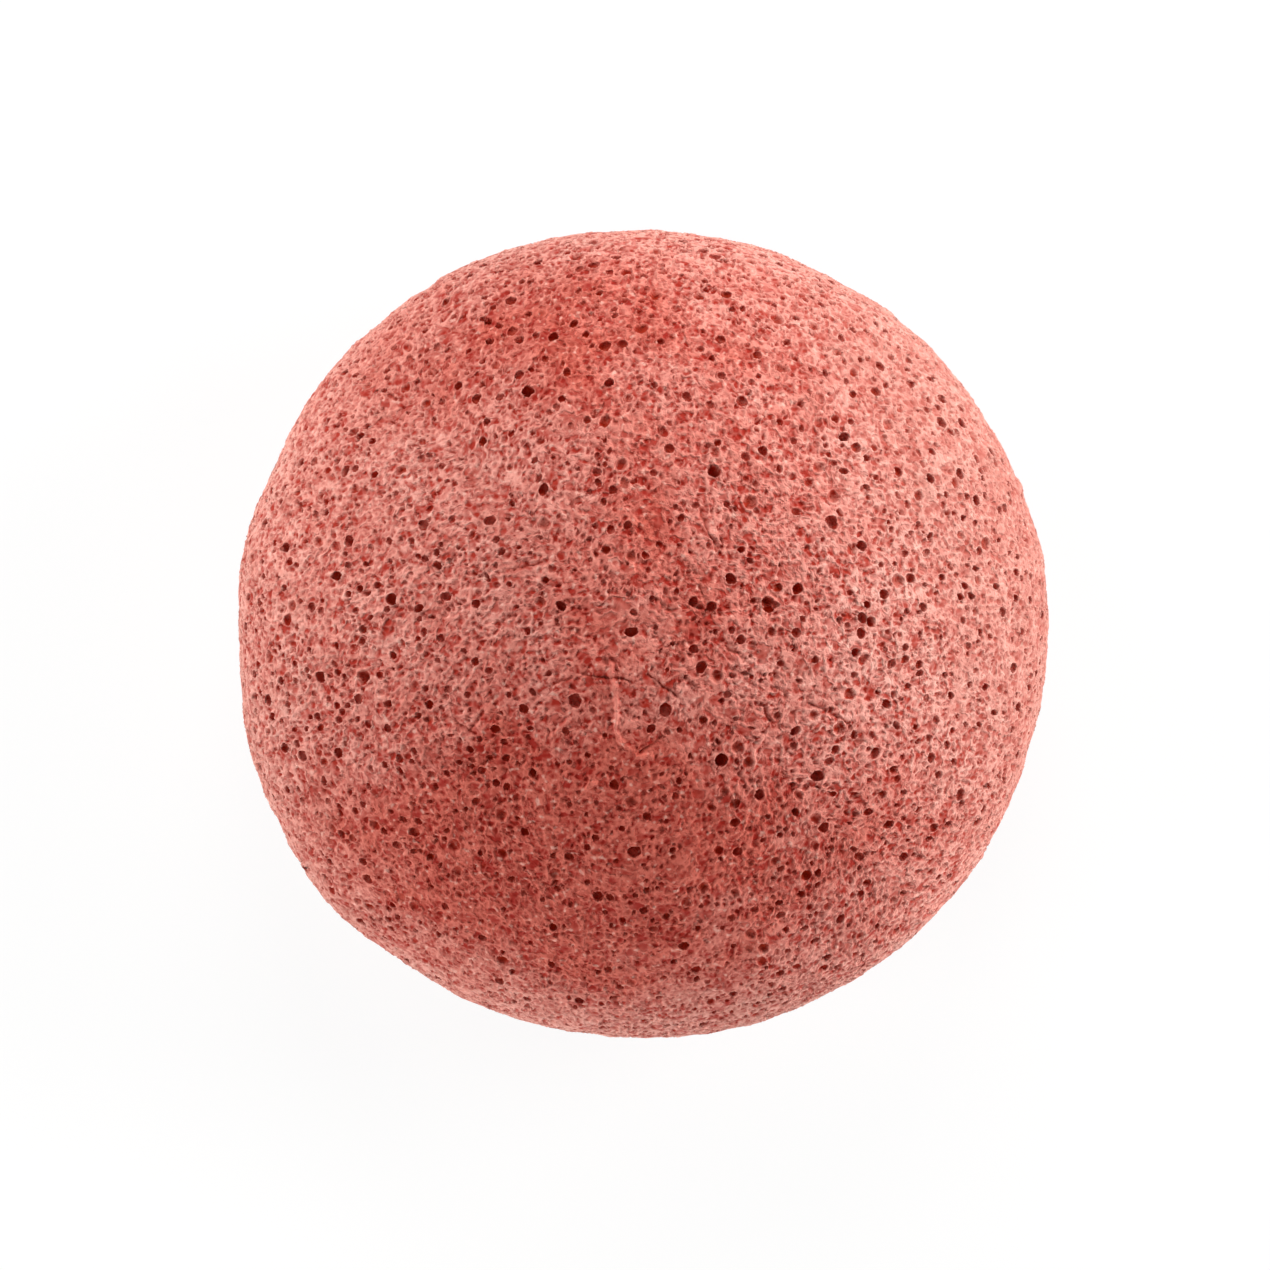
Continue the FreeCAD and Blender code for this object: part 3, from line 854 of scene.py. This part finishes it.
def dry_konjac_foam(finish):
    """Dried konjac foam tinted with red clay: boiled in a mould, frozen, thawed and dried.

    Its dried cell walls look pale and dull. The cell floors and the open cells are painted in darker reds as
    painted shade, for the light that reaches them only off other red walls; painted highlight lies pale on
    ridges and lips, and painted glints on the walls.
    """
    material = fresh(bpy.data.materials, "dry_konjac_foam")
    place = add_node(material, "ShaderNodeTexCoord").outputs["Object"]
    ridge_highlight, hollow_shade, clay_and_shade, dry_and_lit = (
        add_node(material, "ShaderNodeAttribute", attribute_name=name).outputs["Fac"]
        for name in ("ridge_highlight", "hollow_shade", "clay_and_shade", "dry_and_lit"))
    # Web of thin walls, about 0.3 mm wide: the lines where a smooth noise is in its middle
    web = add_node(material, "ShaderNodeTexNoise", {
        "Vector": place, "Scale": 1 / WEB_SPACING, "Detail": 3.0, "Roughness": 0.55, "Distortion": 0.2})
    web = add_node(material, "ShaderNodeMath", {0: web.outputs["Fac"], 1: 0.5}, operation="SUBTRACT")
    web = add_node(material, "ShaderNodeMath", {0: web.outputs[0]}, operation="ABSOLUTE")
    web = add_node(material, "ShaderNodeMapRange", {
        "Value": web.outputs[0], "From Max": WEB_BAND, "To Min": 1.0, "To Max": 0.0},
        interpolation_type="SMOOTHSTEP")
    # Walls that dried thicker or thinner
    mottle = add_node(material, "ShaderNodeTexNoise", {
        "Vector": place, "Scale": 1 / MOTTLE_SPACING, "Detail": 2.0})
    mottle = add_node(material, "ShaderNodeMapRange", {
        "Value": mottle.outputs["Fac"], "From Min": 0.3, "From Max": 0.7,
        "To Min": MOTTLE_PALE[0], "To Max": MOTTLE_PALE[1]})
    # Grain of the walls, whose peaks carry painted glints: pale specks that stand for light caught on the
    # walls
    grain = add_node(material, "ShaderNodeTexNoise", {
        "Vector": place, "Scale": 1 / GRAIN_SPACING, "Detail": 0.0})
    rest = add_node(material, "ShaderNodeMath", {
        0: grain.outputs["Fac"], 1: GRAIN_PALE, 2: mottle.outputs[0]}, operation="MULTIPLY_ADD")
    share = add_node(material, "ShaderNodeMath", {
        0: ridge_highlight, 1: RIDGE_PALE, 2: rest.outputs[0]}, operation="MULTIPLY_ADD")
    share = add_node(material, "ShaderNodeMath", {
        0: web.outputs[0], 1: WEB_PALE, 2: share.outputs[0]}, operation="MULTIPLY_ADD", use_clamp=True)
    # Painted highlight and shade: pale on ridges and lips, darker red in the cell floors
    wall = add_node(material, "ShaderNodeMix", {
        0: share.outputs[0], 6: tuple(finish.bowl), 7: tuple(finish.ridge_highlight)}, data_type="RGBA")
    # Dried patches, and painted light on the lit side, turn the walls pale grey
    wall = add_node(material, "ShaderNodeMix", {
        0: dry_and_lit, 6: wall.outputs[2], 7: tuple(finish.pale_dry_and_lit)}, data_type="RGBA")
    # Clay red and painted shade: the patches darken and redden the walls, most in front
    wall = add_node(material, "ShaderNodeMix", {
        0: clay_and_shade, 6: wall.outputs[2], 7: tuple(finish.red)}, data_type="RGBA", blend_type="MULTIPLY")
    # Painted glints: pale specks at the grain's peaks
    painted_glint = add_node(material, "ShaderNodeMapRange", {
        "Value": grain.outputs["Fac"], "From Min": GLINT_GRAIN[0], "From Max": GLINT_GRAIN[1],
        "To Max": GLINT_SHARE})
    wall = add_node(material, "ShaderNodeMix", {
        0: painted_glint.outputs[0], 6: wall.outputs[2], 7: tuple(finish.painted_glint)}, data_type="RGBA")
    # Painted shade: open cells, cracks and deep fine cells turn dark red-brown
    colour = add_node(material, "ShaderNodeMix", {
        0: hollow_shade, 6: wall.outputs[2], 7: tuple(finish.cavity_shade)}, data_type="RGBA")
    rough = add_node(material, "ShaderNodeMapRange", {
        "Value": hollow_shade, "To Min": ROUGHNESS[0], "To Max": ROUGHNESS[1]})
    bump = add_node(material, "ShaderNodeBump", {
        "Height": web.outputs[0], "Distance": WEB_BUMP, "Strength": 0.9})
    foam = add_node(material, "ShaderNodeBsdfPrincipled", {
        "Base Color": colour.outputs[2], "Roughness": rough.outputs[0], "IOR": 1.45,
        "Specular IOR Level": 0.18, "Sheen Weight": 0.08, "Sheen Roughness": 0.5,
        "Sheen Tint": (1.0, 0.9, 0.87, 1.0), "Normal": bump.outputs["Normal"]})
    add_node(material, "ShaderNodeOutputMaterial", {"Surface": foam.outputs[0]})
    return material


def seen_rays(owner):
    """1 for the rays that show a thing to the eye, straight or in a glossy or clear surface, else 0."""
    paths = add_node(owner, "ShaderNodeLightPath").outputs
    seen = add_node(owner, "ShaderNodeMath", {
        0: paths["Is Camera Ray"], 1: paths["Is Glossy Ray"]}, operation="MAXIMUM")
    return add_node(owner, "ShaderNodeMath", {
        0: seen.outputs[0], 1: paths["Is Transmission Ray"]}, operation="MAXIMUM").outputs[0]


def studio_floor(stage):
    """Matt white paper sweep: plain and even, with a soft shadow by the object, pure white far from it."""
    material = fresh(bpy.data.materials, "matt_paper_sweep")
    place = add_node(material, "ShaderNodeTexCoord").outputs["Object"]
    away = add_node(material, "ShaderNodeVectorMath", {0: place}, operation="LENGTH")
    white = add_node(material, "ShaderNodeMapRange", {
        "Value": away.outputs["Value"], "From Min": SHADOW_REACH[0], "From Max": SHADOW_REACH[1],
        "To Min": 0.86},
        interpolation_type="SMOOTHSTEP")
    share = add_node(material, "ShaderNodeMath", {
        0: seen_rays(material), 1: white.outputs[0]}, operation="MULTIPLY")
    paper = add_node(material, "ShaderNodeBsdfDiffuse", {"Color": tuple(stage.floor)})
    glow = add_node(material, "ShaderNodeEmission", {"Color": (1.0, 1.0, 1.0, 1.0), "Strength": 1.05})
    mixed = add_node(material, "ShaderNodeMixShader", {
        0: share.outputs[0], 1: paper.outputs[0], 2: glow.outputs[0]})
    add_node(material, "ShaderNodeOutputMaterial", {"Surface": mixed.outputs[0]})
    return material


def pale_studio(stage):
    """Even pale light from all round, which is itself seen as plain white."""
    world = fresh(bpy.data.worlds, "pale_studio")
    strength = add_node(world, "ShaderNodeMapRange", {
        "Value": seen_rays(world), "To Min": stage.sky_level, "To Max": 1.0})
    light = add_node(world, "ShaderNodeBackground", {
        "Color": (1.0, 1.0, 1.0, 1.0), "Strength": strength.outputs[0]})
    add_node(world, "ShaderNodeOutputWorld", {"Surface": light.outputs[0]})
    return world


def dress(piece, nodes):
    """Finish a piece of foam, hide the CAD parts it takes the place of, and hang it on the root body."""
    piece.data.materials.append(dry_konjac_foam(bpy.context.scene.konjac_finish))
    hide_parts(*nodes)
    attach(piece, "root")


# Operators, panel and stage


class KONJAC_OT_dome_foam(bpy.types.Operator):
    """Add the domed foam, from the crown down to the widest ring"""

    bl_idname = "konjac.dome_foam"
    bl_label = "Add domed foam"

    def execute(self, context):
        form, cells = context.scene.konjac_form, context.scene.konjac_cells
        points, attributes = foam_surface(
            form, cells, dome_outline, 1.0, dome_length(form), picture_cells(form))
        piece = closed_piece("dome_foam", points, attributes, form.rim_height, 1.0)
        dress(piece, ("dome_skin", "foam_core"))
        return {"FINISHED"}


class KONJAC_OT_base_foam(bpy.types.Operator):
    """Add the foam of the flat side, from its dish over the foot ring to the widest ring"""

    bl_idname = "konjac.base_foam"
    bl_label = "Add flat side foam"

    def execute(self, context):
        form, cells = context.scene.konjac_form, context.scene.konjac_cells
        points, attributes = foam_surface(form, cells, base_outline, -1.0, base_length(form))
        points[..., 2] = np.maximum(points[..., 2], 0.0)
        piece = closed_piece("base_foam", points, attributes, form.rim_height, -1.0)
        dress(piece, ("base_skin",))
        return {"FINISHED"}


class KONJAC_OT_stage(bpy.types.Operator):
    """Add the camera, the lamps and the floor"""

    bl_idname = "konjac.stage"
    bl_label = "Add stage"

    def execute(self, context):
        form, stage = context.scene.konjac_form, context.scene.konjac_stage
        corners = [(x * FLOOR_REACH, y * FLOOR_REACH, -FLOOR_DROP)
                   for x, y in ((-1, -1), (1, -1), (1, 1), (-1, 1))]
        mesh = bpy.data.meshes.new("floor")
        mesh.from_pydata(corners, [], [(0, 1, 2, 3)])
        mesh.materials.append(studio_floor(stage))
        floor = bpy.data.objects.new("floor", mesh)
        context.scene.collection.objects.link(floor)
        for name, around, above, distance, width, watts in LAMPS:
            lamp = bpy.data.lights.new(name, "AREA")
            lamp.shape = "DISK"
            lamp.size = width
            lamp.energy = watts * stage.lamp_level
            holder = bpy.data.objects.new(name, lamp)
            up, turn = math.radians(above), math.radians(around)
            holder.location = (distance * math.cos(up) * math.cos(turn),
                               distance * math.cos(up) * math.sin(turn),
                               distance * math.sin(up) + form.rim_height)
            holder.rotation_euler = (math.pi / 2.0 - up, 0.0, turn + math.pi / 2.0)
            context.scene.collection.objects.link(holder)
        context.scene.world = pale_studio(stage)
        # The ring's 80 mm fill 812 of the picture's 1270 pixels
        scale = form.rim_radius / PICTURE_RADIUS_PX
        camera = bpy.data.cameras.new("camera")
        camera.sensor_width = SENSOR_WIDTH_MM
        camera.lens = SENSOR_WIDTH_MM * stage.camera_height / (scale * PICTURE_WIDTH_PX)
        holder = bpy.data.objects.new("camera", camera)
        holder.location = ((PICTURE_WIDTH_PX / 2.0 - PICTURE_CENTRE_PX[0]) * scale,
                           (PICTURE_CENTRE_PX[1] - PICTURE_WIDTH_PX / 2.0) * scale,
                           form.rim_height + stage.camera_height)
        context.scene.collection.objects.link(holder)
        context.scene.camera = holder
        context.scene.view_settings.view_transform = "Standard"
        return {"FINISHED"}


class KONJAC_PT_sponge(bpy.types.Panel):
    """Panel that lists the sponge's sizes, colours and pieces"""

    bl_idname = "KONJAC_PT_sponge"
    bl_label = "Konjac sponge"
    bl_space_type = "VIEW_3D"
    bl_region_type = "UI"
    bl_category = "Konjac sponge"

    def draw(self, context):
        for name in GROUPS:
            group = getattr(context.scene, name)
            box = self.layout.box()
            for key in group.__annotations__:
                box.prop(group, key)
        for operator in (KONJAC_OT_dome_foam, KONJAC_OT_base_foam, KONJAC_OT_stage):
            self.layout.operator(operator.bl_idname)


GROUPS = {"konjac_form": KonjacForm, "konjac_cells": KonjacCells, "konjac_finish": KonjacFinish,
          "konjac_stage": KonjacStage}
CLASSES = (*GROUPS.values(), KONJAC_OT_dome_foam, KONJAC_OT_base_foam, KONJAC_OT_stage, KONJAC_PT_sponge)


def register():
    for entry in CLASSES:
        bpy.utils.register_class(entry)
    for name, group in GROUPS.items():
        setattr(bpy.types.Scene, name, bpy.props.PointerProperty(type=group))


def unregister():
    for name in GROUPS:
        delattr(bpy.types.Scene, name)
    for entry in reversed(CLASSES):
        bpy.utils.unregister_class(entry)


def main():
    register()
    bpy.ops.konjac.dome_foam()
    bpy.ops.konjac.base_foam()
    bpy.ops.konjac.stage()


if __name__ == "__main__":
    main()
